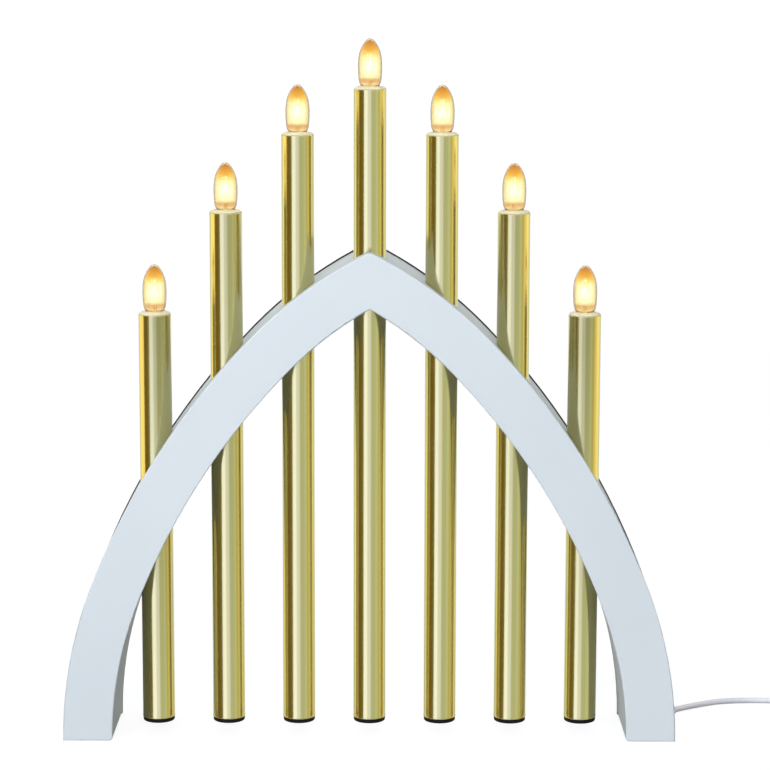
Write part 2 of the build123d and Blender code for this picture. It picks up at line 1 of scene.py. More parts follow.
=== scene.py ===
# %% [markdown]
# A candle arch is a lamp for a window sill: a pointed wooden arch that carries seven
# brass coloured tubes, each with a small screw bulb in the shape of a candle flame.
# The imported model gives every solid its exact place, so the first step only loads it.
# All lengths in this lesson are in metres, X to the right, Y to the back and Z up.

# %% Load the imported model
import math
import bpy
from mathutils import Matrix, Vector


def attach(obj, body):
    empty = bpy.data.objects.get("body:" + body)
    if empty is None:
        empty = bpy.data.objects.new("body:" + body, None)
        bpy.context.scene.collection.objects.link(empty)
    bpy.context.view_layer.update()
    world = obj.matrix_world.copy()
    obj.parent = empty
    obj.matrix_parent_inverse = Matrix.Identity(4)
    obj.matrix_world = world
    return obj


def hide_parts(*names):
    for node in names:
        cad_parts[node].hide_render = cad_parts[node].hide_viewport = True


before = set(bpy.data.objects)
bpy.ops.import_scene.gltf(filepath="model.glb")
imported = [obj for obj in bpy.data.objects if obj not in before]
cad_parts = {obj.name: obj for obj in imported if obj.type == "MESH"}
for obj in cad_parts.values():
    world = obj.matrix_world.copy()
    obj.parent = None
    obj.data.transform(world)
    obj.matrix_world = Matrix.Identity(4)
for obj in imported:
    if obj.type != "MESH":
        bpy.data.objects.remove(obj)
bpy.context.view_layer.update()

# %% [markdown]
# The photograph was taken from a little above, far away and almost straight ahead.
# A long lens keeps the seven tubes upright and shows only a strip of the arch's top.
# The values come from a fit of the outline: the tubes' tops, the feet and the apex.

# %% Camera at the photograph's angle
camera_place = (0.00867, -1.4748, 0.4236)
camera_pitch = 8.565
camera_roll = 0.113
camera_lens = 122.0
sensor_width = 36.0
nearest_seen = 0.02
scene = bpy.context.scene
camera_data = bpy.data.cameras.new("camera")
camera_data.lens = camera_lens
camera_data.sensor_width = sensor_width
camera_data.clip_start = nearest_seen
camera = bpy.data.objects.new("camera", camera_data)
scene.collection.objects.link(camera)
tilt = Matrix.Rotation(math.radians(90 - camera_pitch), 4, "X")
roll = Matrix.Rotation(math.radians(camera_roll), 4, "Z")
camera.matrix_world = Matrix.Translation(camera_place) @ tilt @ roll
scene.camera = camera
print("camera lens", camera_lens, "pitch", camera_pitch)

# %% [markdown]
# Most pieces of this lamp are turned or rolled: tubes, bulbs, lamp caps, collars, plugs.
# So one helper spins a profile of radius and height pairs round an upright axis.
# Building the mesh from plain lists keeps the count of faces and the smoothness exact.
# Sharp corners stay sharp because edges above a set angle are marked after smoothing.
# Small forms such as a curled rim are lists of pairs too, moved to where they belong.

# %% Helpers that make meshes
sharp_angle = 32.0
full_turn = 2 * math.pi


def mesh_piece(name, vertices, faces, angle=sharp_angle):
    mesh = bpy.data.meshes.new(name)
    mesh.from_pydata(vertices, [], faces)
    mesh.validate()
    mesh.shade_smooth()
    mesh.set_sharp_from_angle(angle=math.radians(angle))
    piece = bpy.data.objects.new(name, mesh)
    scene.collection.objects.link(piece)
    return piece


def spin_rings(rings, closed=False):
    # Rings of points, joined side by side: a pole is a ring of one point. Two poles in
    # a row, such as the outer and inner tip of a glass, have nothing between them.
    segments = max(len(ring) for ring in rings)
    vertices, starts = [], []
    for ring in rings:
        starts.append(len(vertices))
        vertices += ring
    faces = []
    for k in range(len(rings) if closed else len(rings) - 1):
        after = (k + 1) % len(rings)
        a, b = starts[k], starts[after]
        pole_a, pole_b = len(rings[k]) == 1, len(rings[after]) == 1
        if pole_a and pole_b:
            continue
        for j in range(segments):
            n = (j + 1) % segments
            if pole_a:
                faces.append((a, b + n, b + j))
            elif pole_b:
                faces.append((a + j, a + n, b))
            else:
                faces.append((a + j, a + n, b + n, b + j))
    return vertices, faces


def turned(profile, matrix, segments, closed=False):
    # Vertices and faces of a profile of (radius, height) pairs, spun round an axis
    rings = []
    for radius, height in profile:
        if radius == 0:
            rings.append([tuple(matrix @ Vector((0, 0, height)))])
            continue
        ring = []
        for j in range(segments):
            angle = full_turn * j / segments
            point = (radius * math.cos(angle), radius * math.sin(angle), height)
            ring.append(tuple(matrix @ Vector(point)))
        rings.append(ring)
    return spin_rings(rings, closed)


print("edges stay sharp above", sharp_angle, "degrees")

# %% Helpers for profiles
def moved(pairs, radius, height):
    # A small form, given from its own corner, moved to a radius and a height
    return [(radius + r, height + z) for r, z in pairs]


def joined(parts):
    # Several meshes as one list of vertices and faces
    vertices, faces = [], []
    for more, their_faces in parts:
        shift = len(vertices)
        vertices += more
        faces += [tuple(i + shift for i in face) for face in their_faces]
    return vertices, faces


def arc_points(centre, radius, start, end, count):
    # Points of an arc in the profile's plane, angles in degrees
    points = []
    for k in range(count + 1):
        angle = math.radians(start + (end - start) * k / count)
        across, up = radius * math.cos(angle), radius * math.sin(angle)
        points.append((centre[0] + across, centre[1] + up))
    return points


print("profile helpers ready")

# %% [markdown]
# The mains lead is a thin white cable. It comes out of a notch under the right foot,
# bends to the right in one loose curve and leaves the picture. Its unseen length is wound
# into a small coil outside the view, with the plug beside it.
# A NURBS spline of order 3 is right for it: its control points are the corners of the
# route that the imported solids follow, so both lie in the same place.

# %% The lead's route
cord_radius = 0.0017
lead_start = (0.17389, 0.01949, 0.0035)
lead_corners = [
    (0.18429, 0.02886, 0.0035),
    (0.19600, 0.04240, 0.00175),
    (0.20950, 0.05040, 0.00175),
    (0.22600, 0.05290, 0.00175),
    (0.24500, 0.05220, 0.00175),
    (0.26200, 0.05100, 0.00175),
]
tail_corners = [
    (0.29000, 0.048975, 0.01390),
    (0.30250, 0.04550, 0.01100),
    (0.31200, 0.03650, 0.00820),
    (0.31550, 0.02400, 0.00690),
    (0.31550, 0.01150, 0.00690),
    (0.31560, 0.00350, 0.00690),
]
print("corners before the coil", len(lead_corners), "and after it", len(tail_corners))

# %% The put-away coil
coil_centre = (0.278, 0.0246)
coil_outer_radius = 0.0264
coil_pitch = 0.00405
coil_half_turns = [6, 5, 5, 5]
coil_floor = 0.00175
points_per_turn = 16
coil_rim_width = 0.006
climb_swing = coil_pitch / 8


def coil_nodes():
    # Radius and height at each half turn: a layer winds inward, the next one outward
    nodes = []
    radius, height, inward = coil_outer_radius, coil_floor, True
    for halves in coil_half_turns:
        step = -coil_pitch / 2 if inward else coil_pitch / 2
        nodes.append((radius, height))
        for _ in range(halves):
            radius += step
            nodes.append((radius, height))
        height += coil_pitch
        inward = not inward
    return nodes


def coil_control_points():
    # A spline of order 3 runs inside its corners, so these stand further out. Where
    # the lead climbs to the next layer it swings out of the winding by climb_swing.
    nodes = coil_nodes()
    halves = len(nodes) - 1
    per_half = points_per_turn // 2
    stretch = 1 / (0.75 + 0.25 * math.cos(full_turn / points_per_turn))
    points = []
    for k in range(halves * per_half + 1):
        at = k / per_half
        index = min(int(at), halves - 1)
        share = at - index
        (r0, z0), (r1, z1) = nodes[index], nodes[index + 1]
        soft = share * share * (3 - 2 * share)
        radius = r0 + (r1 - r0) * share
        if z1 > z0:
            side = -1 if r0 < coil_outer_radius - coil_rim_width else 1
            radius += side * climb_swing * math.sin(math.pi * share)
        angle = math.pi / 2 - math.pi * at
        reach = radius * stretch
        points.append((
            coil_centre[0] + reach * math.cos(angle),
            coil_centre[1] + reach * math.sin(angle),
            z0 + (z1 - z0) * soft,
        ))
    return points


coil = coil_control_points()
coil[0] = (coil_centre[0], coil_centre[1] + coil_outer_radius, coil_floor)
print("coil control points", len(coil))

# %% The lead itself
cord_points = [lead_start] + lead_corners + coil + tail_corners
cord_curve = bpy.data.curves.new("mains_lead", "CURVE")
cord_curve.dimensions = "3D"
cord_curve.bevel_depth = cord_radius
cord_curve.bevel_resolution = 5
cord_curve.resolution_u = 6
spline = cord_curve.splines.new("NURBS")
spline.points.add(len(cord_points) - 1)
for control, place in zip(spline.points, cord_points):
    control.co = (*place, 1)
spline.order_u = 3
spline.use_endpoint_u = True
cord = bpy.data.objects.new("mains_lead", cord_curve)
scene.collection.objects.link(cord)
print("cord control points", len(cord_points))


bare = cord_curve.copy()
bare.bevel_depth = 0
probe = bpy.data.objects.new("probe", bare)
line = bpy.data.meshes.new_from_object(probe)
bpy.data.objects.remove(probe)
bpy.data.curves.remove(bare)
bpy.data.meshes.remove(line)

# %% [markdown]
# Where the lead leaves the wood it needs a strain relief, so that it can't be bent sharply.
# On the real lamp this is a soft tapered bush. Rings cut into its outer part let it flex.
# The profile is spun like the other turned pieces, but along the lead's own direction.

# %% Ringed strain relief
lead_angle = 42.0
exit_place = (0.175, 0.0205, 0.0035)
bush_inside = 0.013
bush_outside = 0.007
bush_root = 0.0032
bush_tip_radius = 0.0023
bush_edge = 0.0003
bush_shoulder = 0.0002
bush_segments = 48
ring_count = 4
# Share of one ring's length, and how deep it is cut there
ring_shape = [(0.0, 0.0), (0.6, 0.0), (0.7, 0.0005), (0.92, 0.0005)]
# The gap that keeps two touching faces out of one plane
hair = 0.00005


def bush_profile():
    outer = [(bush_root, -bush_inside), (bush_root, -bush_shoulder)]
    length = bush_outside / ring_count
    for k in range(ring_count):
        for share, cut in ring_shape:
            along = k * length + share * length
            radius = bush_root + (bush_tip_radius - bush_root) * along / bush_outside
            outer.append((radius - cut, along))
    outer.append((bush_tip_radius, bush_outside - bush_edge))
    outer.append((bush_tip_radius - bush_edge, bush_outside))
    bore = cord_radius + hair
    return outer + [(bore, bush_outside), (bore, -bush_inside)]


along_x = Matrix.Rotation(math.pi / 2, 4, "Y")
lead_turn = Matrix.Rotation(math.radians(lead_angle), 4, "Z")
bush_frame = Matrix.Translation(exit_place) @ (lead_turn @ along_x)
bush_mesh = turned(bush_profile(), bush_frame, bush_segments, closed=True)
bush = mesh_piece("strain_relief", *bush_mesh)
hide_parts("cord_bush")
print("strain relief rings", ring_count)

# %% [markdown]
# The tubes are rolled metal: the wall is 0.6 mm thick, with a soft curl at each end.
# A spun wall with an inside and an outside shows the curl as a bright line.

# %% Tubes
tube_count = 7
tube_pitch = 0.0405
tube_axis_y = -0.011
tube_radius = 0.00935
tube_wall = 0.0006
tube_low = 0.010
tube_tops = [0.2435, 0.3010, 0.3445, 0.3700, 0.3445, 0.3010, 0.2435]
tube_segments = 160
curl_bulge = 0.00012
# Radius from the wall's inner or outer face, and height from the tube's own end
low_curl_inside = [(0, 0.0005), (0.0001, 0.0001), (0.0003, 0)]
low_curl_outside = [(-0.0002, 0), (0, 0.00025), (0, 0.0007), (-curl_bulge, 0.0012)]
high_curl_outside = [(-curl_bulge, -0.0011), (0, -0.0007), (0, -0.0003), (-0.00025, 0)]


def tube_place(index):
    return (index - (tube_count - 1) / 2) * tube_pitch, tube_axis_y


def tube_frame(index):
    # Moves what is spun onto the axis of one tube
    return Matrix.Translation((*tube_place(index), 0))


def tube_profile(top):
    inner = tube_radius - tube_wall
    low_end = moved(low_curl_inside, inner, tube_low)
    low_end += moved(low_curl_outside, tube_radius, tube_low)
    return low_end + moved(high_curl_outside, tube_radius, top) + [(inner, top)]


tubes = []
for index in range(tube_count):
    profile = tube_profile(tube_tops[index])
    wall = turned(profile, tube_frame(index), tube_segments, closed=True)
    tube = mesh_piece(f"tube_wall_{index + 1}", *wall)
    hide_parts(f"tube_{index + 1}")
    tubes.append(tube)
print("tubes", len(tubes))

# %% [markdown]
# A black plastic plug closes the lower end of each tube. Only its rounded flange shows.
# The hollow spigot above the flange is there too: it grips the tube from the inside.

# %% Black end plugs
cap_radius = tube_radius - 0.0003
cap_drop = 0.0025
cap_round = 0.0009
cap_round_steps = 6
cap_dimple = 0.0002
cap_dimple_radius = cap_radius * 0.42
cap_dimple_edge = cap_radius * 0.45
cap_segments = 96
spigot_radius = tube_radius - tube_wall - 0.0001
spigot_wall = 0.0013
spigot_height = 0.009
spigot_taper = [(0, -0.001), (-0.0004, 0), (-spigot_wall, 0)]


def cap_profile():
    floor = tube_low - cap_drop
    corner = (cap_radius - cap_round, floor + cap_round)
    flange_top = tube_low - hair
    return [
        (0, floor + cap_dimple),
        (cap_dimple_radius, floor + cap_dimple),
        (cap_dimple_edge, floor),
        *arc_points(corner, cap_round, -90, 0, cap_round_steps),
        (cap_radius, flange_top),
        (spigot_radius, flange_top),
        *moved(spigot_taper, spigot_radius, tube_low + spigot_height),
        (spigot_radius - spigot_wall, tube_low),
        (0, tube_low),
    ]


end_plugs = []
for index in range(tube_count):
    plug_mesh = turned(cap_profile(), tube_frame(index), cap_segments)
    plug = mesh_piece(f"end_plug_{index + 1}", *plug_mesh)
    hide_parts(f"tube_cap_{index + 1}")
    end_plugs.append(plug)
print("end plugs", len(end_plugs))

# %% [markdown]
# The lamp holder is a cream plastic cup that drops into the tube. Its domed collar rests
# on the rim, and the brass screw shell sits inside. The holder could be left as the plain
# solid, but a spun profile gives the collar its soft edge and the mouth its small chamfer.

# %% Lamp holders
collar_radius = tube_radius - 0.00025
collar_rise = 0.0019
# The dome from its top inwards to its edge, as radius from the edge and height
collar_dome = [
    (-0.0031, collar_rise), (-0.0023, 0.0017), (-0.0011, 0.0013), (-0.0003, 0.0008),
    (0, 0.0004), (0, hair),
]
mouth_radius = 0.0052
mouth_edge = 0.0003
mouth_lip = 0.0005
bore_radius = 0.0054
sleeve_radius = tube_radius - tube_wall - 0.0001
sleeve_depth = 0.007
sleeve_edge = 0.0004
cup_radius = 0.0072
cup_depth = 0.024
cup_floor = 0.004
holder_segments = 72


def holder_profile(rim):
    floor, sleeve_low = rim - cup_depth + cup_floor, rim - sleeve_depth
    return [
        (0, floor),
        (bore_radius, floor),
        (bore_radius, rim - mouth_lip),
        (mouth_radius, rim - mouth_lip),
        (mouth_radius, rim + collar_rise - mouth_edge),
        (mouth_radius + mouth_edge, rim + collar_rise),
        *moved(collar_dome, collar_radius, rim),
        (sleeve_radius, rim + hair),
        (sleeve_radius, sleeve_low + sleeve_edge),
        (sleeve_radius - sleeve_edge, sleeve_low),
        (cup_radius, sleeve_low),
        (cup_radius, rim - cup_depth),
        (0, rim - cup_depth),
    ]


holders = []
for index in range(tube_count):
    cup = turned(holder_profile(tube_tops[index]), tube_frame(index), holder_segments)
    holder = mesh_piece(f"lamp_holder_cup_{index + 1}", *cup)
    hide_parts(f"lamp_holder_{index + 1}")
    holders.append(holder)
print("lamp holders", len(holders))

# %% [markdown]
# A small screw cap has a rolled thread with a pitch of 1.81 mm. A plain ring would look
# wrong as soon as the bulb is lifted out, so the thread is a grid of points whose radius
# follows a wave that climbs round the axis. The shell in the holder has the same wave.

# %% Helpers for rolled threads
thread_pitch = 0.00181
thread_depth = 0.00045
thread_fade = 0.0006
thread_segments = 60
steps_per_pitch = 9
thread_angles = [full_turn * j / thread_segments for j in range(thread_segments)]


def ring_of_radii(radii, height, place):
    # One ring round a tube's axis, with a radius for each of its points
    return [
        (place[0] + radius * math.cos(angle), place[1] + radius * math.sin(angle), height)
        for radius, angle in zip(radii, thread_angles)
    ]


def flat_rings(pairs, height, place):
    # Plain rings for pairs of a radius and a height above or below the given one
    return [ring_of_radii([r] * thread_segments, height + z, place) for r, z in pairs]


def thread_rings(outer_radius, low, high, place):
    # The wave is full deep in the middle and fades out at both ends of the thread
    rings = []
    count = max(2, int((high - low) / thread_pitch * steps_per_pitch))
    for k in range(count + 1):
        height = low + (high - low) * k / count
        fade = min(1.0, (height - low) / thread_fade, (high - height) / thread_fade)
        climb = full_turn * (height / thread_pitch)
        radii = []
        for angle in thread_angles:
            wave = 0.5 - 0.5 * math.cos(climb - angle)
            radii.append(outer_radius - thread_depth * wave * max(0.0, fade))
        rings.append(ring_of_radii(radii, height, place))
    return rings


print("thread pitch", thread_pitch, "depth", thread_depth)

# %% Screw shells in the holders
shell_radius = 0.0053
shell_wall = 0.0003
shell_length = 0.011
shell_sink = 0.0006
lamp_seat = 0.0006
lamp_skirt = 0.009
lamp_cone = 0.0026
lamp_drop = 0.0009
contact_gap = 0.00025
contact_radius = 0.0022
contact_tip_radius = 0.0016
contact_bevel = 0.0005
contact_segments = 32


def shell_parts(index):
    place, rim = tube_place(index), tube_tops[index]
    high = rim - shell_sink
    low = high - shell_length
    outer = thread_rings(shell_radius, low, high, place)
    inner = thread_rings(shell_radius - shell_wall, low, high, place)
    seat = rim - cup_depth + cup_floor
    tip = rim + lamp_seat - lamp_skirt - lamp_cone - lamp_drop - contact_gap
    spring = [
        (0, seat), (contact_radius, seat), (contact_radius, tip - contact_bevel),
        (contact_tip_radius, tip), (0, tip),
    ]
    contact = turned(spring, tube_frame(index), contact_segments)
    return [spin_rings(outer + inner[::-1], closed=True), contact]


shell_meshes = [part for index in range(tube_count) for part in shell_parts(index)]
shells = mesh_piece("screw_shells", *joined(shell_meshes))
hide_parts("socket_shells")
print("screw shells", tube_count)

# %% [markdown]
# The bulb is blown as a candle flame: a narrow foot in the lamp cap, sides that are nearly
# straight up to two thirds of its height, then a pointed dome that ends in a small drawn
# tip. The glass is a real shell with an inner wall, because a solid body of glass would
# bend the light like a lens and hide the filament.

# %% The glass's outline
# Radius and height above the rim, from the lamp cap up to the drawn tip
glass_side = [
    (0.00470, 0.0006), (0.00500, 0.0018), (0.00590, 0.0031), (0.00642, 0.0052),
    (0.00670, 0.0085), (0.00682, 0.0122), (0.00674, 0.0153), (0.00645, 0.0181),
    (0.00590, 0.0206), (0.00500, 0.0230), (0.00395, 0.0250), (0.00280, 0.0266),
    (0.00215, 0.0273),
]
glass_tip = [
    (0.00165, 0.02770), (0.00115, 0.02796), (0.00070, 0.02811), (0.00035, 0.02818),
]
glass_top = 0.0282


def smooth_profile(pairs, per_span=4):
    # A smooth curve through all the pairs, so that the glass has no flat bands
    points = []
    padded = [pairs[0]] + list(pairs) + [pairs[-1]]
    for k in range(1, len(padded) - 2):
        p0, p1, p2, p3 = padded[k - 1: k + 3]
        for s in range(per_span):
            t = s / per_span
            point = []
            for a, b, c, d in zip(p0, p1, p2, p3):
                value = b + (c - a) * t / 2
                value += (2 * a - 5 * b + 4 * c - d) * t * t / 2
                value += (3 * b - a - 3 * c + d) * t * t * t / 2
                point.append(value)
            points.append(tuple(point))
    points.append(pairs[-1])
    return points


print("pairs up the glass's side", len(smooth_profile(glass_side)))

# %% Bulb glass
glass_wall = 0.00055
glass_inner_tip = [(0.0010, 0.0274), (0, 0.0277)]
inner_drop = 0.0001
inner_least_radius = 0.0002
foot_radius = 0.00425
foot_depth = 0.004
foot_edge = 0.0002
foot_high = 0.0004
glass_segments = 64
glass_sharp_angle = 60


def glass_profile(rim):
    # Up the outside to the tip, and back down the inside to the open foot
    side = smooth_profile(glass_side)
    low, high = rim + lamp_seat - foot_depth, rim + foot_high
    outer = [(foot_radius - foot_edge, low), (foot_radius, low + foot_edge)]
    outer += [(foot_radius, high)] + moved(side + glass_tip, 0, rim)
    outer += [(0, rim + glass_top)]
    inner = [(foot_radius - glass_wall, low), (foot_radius - glass_wall, high)]
    for r, z in side:
        inner.append((max(r - glass_wall, inner_least_radius), rim + z - inner_drop))
    inner += moved(glass_inner_tip, 0, rim)
    return outer + inner[::-1]


glasses = []
for index in range(tube_count):
    profile = glass_profile(tube_tops[index])
    blown = turned(profile, tube_frame(index), glass_segments, closed=True)
    glass = mesh_piece(f"candle_glass_{index + 1}", *blown, angle=glass_sharp_angle)
    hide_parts(f"bulb_glass_{index + 1}")
    glasses.append(glass)
print("bulb glasses", len(glasses))

# %% [markdown]
# The lamp cap is thin nickelled metal with the same rolled thread. Below the thread it
# narrows to a cone, and a drop of solder under the cone is the contact. Its upper end is
# a shallow cup, because the foot of the glass stands in it.

# %% Lamp caps
lamp_cap_radius = 0.00475
lamp_cap_bore = 0.0043
lip_radius = lamp_cap_radius - 0.0004
# Pairs of radius and height: from the cap's top, from the cone's end, and the cup inside
lamp_cap_lip = [(lip_radius, 0), (lamp_cap_radius, -0.0003), (lamp_cap_radius, -0.0012)]
lamp_cap_foot = [(0.0026, 0), (0.0018, 0), (0.0016, -0.0005), (0.0010, 0.0001 - lamp_drop)]
lamp_cap_cup = [(lip_radius, 0), (lamp_cap_bore, -0.0002), (lamp_cap_bore, -0.0041)]


def lamp_cap_parts(index):
    place, top = tube_place(index), tube_tops[index] + lamp_seat
    low = top - lamp_skirt
    thread_high = top + lamp_cap_lip[-1][1]
    rings = flat_rings(lamp_cap_lip, top, place)
    rings += thread_rings(lamp_cap_radius, low, thread_high, place)[::-1]
    rings += flat_rings(lamp_cap_foot, low - lamp_cone, place)
    rings.append([(*place, low - lamp_cone - lamp_drop)])
    cup = moved(lamp_cap_cup, 0, top)
    cup.append((0, cup[-1][1]))
    return [spin_rings(rings), turned(cup, tube_frame(index), thread_segments)]


lamp_caps = []
for index in range(tube_count):
    cap = mesh_piece(f"lamp_cap_{index + 1}", *joined(lamp_cap_parts(index)))
    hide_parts(f"bulb_base_{index + 1}")
    lamp_caps.append(cap)
print("lamp caps", len(lamp_caps))

# %% [markdown]
# Inside the glass a stem carries two support wires and the coiled filament in a narrow
# inverted V. Each wire is a tube swept along its points, and the filament is a fine helix.

# %% Helpers for wires
def swept(points, radius, sides):
    # Tube along a line of points, with closed ends
    points = [Vector(p) for p in points]
    rings = []
    normal = None
    for k, point in enumerate(points):
        ahead = points[min(k + 1, len(points) - 1)] - points[max(k - 1, 0)]
        ahead.normalize()
        if normal is None:
            normal = ahead.orthogonal().normalized()
        else:
            normal = (normal - ahead * normal.dot(ahead)).normalized()
        side = ahead.cross(normal)
        ring = []
        for j in range(sides):
            angle = full_turn * j / sides
            offset = normal * math.cos(angle) + side * math.sin(angle)
            ring.append(tuple(point + offset * radius))
        rings.append(ring)
    return spin_rings([[tuple(points[0])]] + rings + [[tuple(points[-1])]])


def helix_points(start, end, radius, turns, per_turn=10):
    start, end = Vector(start), Vector(end)
    axis = (end - start).normalized()
    across = axis.orthogonal().normalized()
    other = axis.cross(across)
    points = []
    count = turns * per_turn
    for k in range(count + 1):
        angle = full_turn * k / per_turn
        centre = start + (end - start) * (k / count)
        offset = across * math.cos(angle) + other * math.sin(angle)
        points.append(centre + offset * radius)
    return points


print("wire helpers ready")

# %% Stem, supports and filament
stem_profile = [
    (0, -0.0042), (0.0014, -0.0042), (0.0014, 0.0012), (0.0011, 0.0026),
    (0.0012, 0.0036), (0.0009, 0.0044), (0, 0.0045),
]
stem_segments = 24
# Distance to the side and height above the lamp's seat
support_route = [(0.0006, 0.0030), (0.0012, 0.0058), (0.0013, 0.0098)]
support_radius = 0.00016
support_sides = 8
filament_foot = (0.0013, 0.0096)
filament_head = 0.0153
filament_coil_radius = 0.00030
filament_turns = 14
filament_wire_radius = 0.0001
filament_wire_sides = 5


def stem_and_supports(index):
    (x, y), seat = tube_place(index), tube_tops[index] + lamp_seat
    stem = moved(stem_profile, 0, seat)
    parts = [turned(stem, tube_frame(index), stem_segments)]
    for side in (-1, 1):
        route = [(x + side * across, y, seat + up) for across, up in support_route]
        parts.append(swept(route, support_radius, support_sides))
    return parts


def filament_coil(index):
    (x, y), seat = tube_place(index), tube_tops[index] + lamp_seat
    across, up = filament_foot
    corners = [(x - across, y, seat + up), (x, y, seat + filament_head)]
    corners.append((x + across, y, seat + up))
    limbs = []
    for start, end in zip(corners, corners[1:]):
        route = helix_points(start, end, filament_coil_radius, filament_turns)
        limbs.append(swept(route, filament_wire_radius, filament_wire_sides))
    return limbs


mounts = []
filaments = []
for index in range(tube_count):
    mount = mesh_piece(f"stem_and_wires_{index + 1}", *joined(stem_and_supports(index)))
    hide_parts(f"bulb_filament_{index + 1}")
    mounts.append(mount)
    glow = mesh_piece(f"filament_coil_{index + 1}", *joined(filament_coil(index)))
    filaments.append(glow)
print("stems", len(mounts), "filament coils", len(filaments))

# %% [markdown]
# The bulbs are lit. A camera sees such a lamp as a white-hot core in a yellow haze. The
# amber in the tip and just above the collar is painted reflection: the filament's light
# caught in the glass, painted as glow on the skins. Four thin see-through skins make it,
# one inside the other, so it looks the same from every side. A volume would be noisy for so
# small a piece. A skin fills a share of the glass's width between two heights, and has
# stops from
# its foot to its head: height share, tint and strength.

# %% Stops of the glow
glow_layers = [
    ("haze", 0.98, 0.0010, 0.0274, [
        # The amber stops near the foot and near the head are painted reflection of the
        # filament's light
        (0.00, (1.00, 0.76, 0.38), 0.55), (0.08, (0.97, 0.68, 0.26), 0.58),
        (0.12, (0.80, 0.44, 0.11), 0.64), (0.17, (0.76, 0.40, 0.10), 0.62),
        (0.21, (1.00, 0.88, 0.34), 0.34), (0.62, (1.00, 0.90, 0.28), 0.34),
        (0.71, (1.00, 0.70, 0.09), 0.62), (0.82, (0.92, 0.45, 0.04), 0.88),
        (1.00, (0.52, 0.20, 0.02), 0.95),
    ]),
    ("flame", 0.80, 0.0052, 0.0212, [
        (0.00, (1.00, 0.86, 0.42), 0.30), (0.45, (1.10, 1.08, 0.74), 0.56),
        (1.00, (1.00, 0.84, 0.28), 0.34),
    ]),
    ("core", 0.66, 0.0060, 0.0200, [
        (0.00, (1.15, 1.05, 0.66), 0.80), (0.45, (1.80, 1.80, 1.72), 0.97),
        (1.00, (1.20, 1.10, 0.55), 0.80),
    ]),
    # Painted reflection: the filament's light caught in the glass's tip, painted as an
    # amber glow
    ("ember", 0.40, 0.0206, 0.0258, [
        (0.00, (0.80, 0.34, 0.05), 0.45), (1.00, (0.62, 0.20, 0.03), 0.75),
    ]),
]
print("glow layers", [layer for layer, *_ in glow_layers])

# %% Skins that glow
glow_steps = 26
glow_rounding = 12
glow_segments = 32


def glass_radius_at(height):
    # Radius of the glass at a height above the rim
    for (r0, z0), (r1, z1) in zip(glass_side, glass_side[1:]):
        if height <= z1:
            return r0 + (r1 - r0) * max(0.0, (height - z0) / (z1 - z0))
    last_radius, last_height = glass_side[-1]
    return last_radius * max(0.0, (glass_top - height) / (glass_top - last_height))


def glow_profile(share, low, high, rim):
    # Each skin follows the glass, and draws in at both of its ends
    points = [(0, rim + low)]
    for k in range(1, glow_steps):
        at = k / glow_steps
        height = low + (high - low) * at
        ends = min(1.0, at * glow_rounding, (1 - at) * glow_rounding)
        radius = (glass_radius_at(height) - glass_wall) * share * math.sqrt(ends)
        points.append((radius, rim + height))
    points.append((0, rim + high))
    return points


glows = {}
for layer, share, low, high, stops in glow_layers:
    glows[layer] = []
    for index in range(tube_count):
        profile = glow_profile(share, low, high, tube_tops[index])
        skin = turned(profile, tube_frame(index), glow_segments)
        glow = mesh_piece(f"glow_{layer}_{index + 1}", *skin, angle=180)
        glows[layer].append(glow)
print("glow skins", len(glow_layers) * tube_count)

# %% [markdown]
# The plug's two pins are the part that a reader knows best: round ends, and a sleeve of
# insulation next to the body, so only the outer half is bare metal.

# %% Plug pins
plug_entry = (0.3155, 0.0115, 0.0069)
plug_nose = 0.014
plug_length = 0.037
pin_spacing = 0.0186
pin_radius = 0.002
pin_root = 0.008
pin_length = 0.019
pin_tip = 0.0016
pin_tip_steps = 6
pin_segments = 40
sleeve_length = 0.010
sleeve_thickness = 0.0001
towards_front = Matrix.Rotation(math.pi / 2, 4, "X")


def pin_meshes(side):
    x, y, z = plug_entry
    start = (x + side * pin_spacing / 2, y - (plug_nose + plug_length), z)
    matrix = Matrix.Translation(start) @ towards_front
    thin = pin_radius - sleeve_thickness
    tip_centre = (pin_radius - pin_tip, pin_length - pin_tip)
    metal = [(0, -pin_root), (thin, -pin_root), (thin, sleeve_length)]
    metal += [(pin_radius, sleeve_length + sleeve_thickness), (pin_radius, tip_centre[1])]
    metal += arc_points(tip_centre, pin_tip, 0, 90, pin_tip_steps) + [(0, pin_length)]
    sleeve = [(thin, 0), (pin_radius, 0), (pin_radius, sleeve_length - sleeve_thickness)]
    sleeve += [(thin, sleeve_length)]
    bare_pin = turned(metal, matrix, pin_segments)
    return bare_pin, turned(sleeve, matrix, pin_segments, closed=True)


metals, sleeves = zip(*[pin_meshes(side) for side in (-1, 1)])
pins = mesh_piece("bare_pins", *joined(metals))
pin_sleeves = mesh_piece("pin_sleeves", *joined(sleeves))
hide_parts("plug_pins")
print("pins", len(metals))

# %% [markdown]
# Each finish is a small graph of nodes. The patterns are read in object coordinates, so
# they stay on the piece from any side. Plain values sit on the shader's own sockets.

# %% Helpers for finishes
def finish(name, plain):
    # A new material, with the plain values of its shader set by the sockets' names
    material = bpy.data.materials.new(name)
    material.use_nodes = True
    shader = material.node_tree.nodes["Principled BSDF"]
    for socket, value in plain.items():
        shader.inputs[socket].default_value = value
    return material, material.node_tree, shader


def coordinates(tree, stretch=(1, 1, 1)):
    source = tree.nodes.new("ShaderNodeTexCoord")
    mapping = tree.nodes.new("ShaderNodeMapping")
    mapping.inputs["Scale"].default_value = stretch
    tree.links.new(source.outputs["Object"], mapping.inputs["Vector"])
    return mapping.outputs["Vector"]


def along_axis(tree, space, axis):
    # How far along one axis a point lies
    source = tree.nodes.new("ShaderNodeTexCoord")
    split = tree.nodes.new("ShaderNodeSeparateXYZ")
    tree.links.new(source.outputs[space], split.inputs["Vector"])
    return split.outputs[axis]


print("every finish starts from the Principled BSDF")

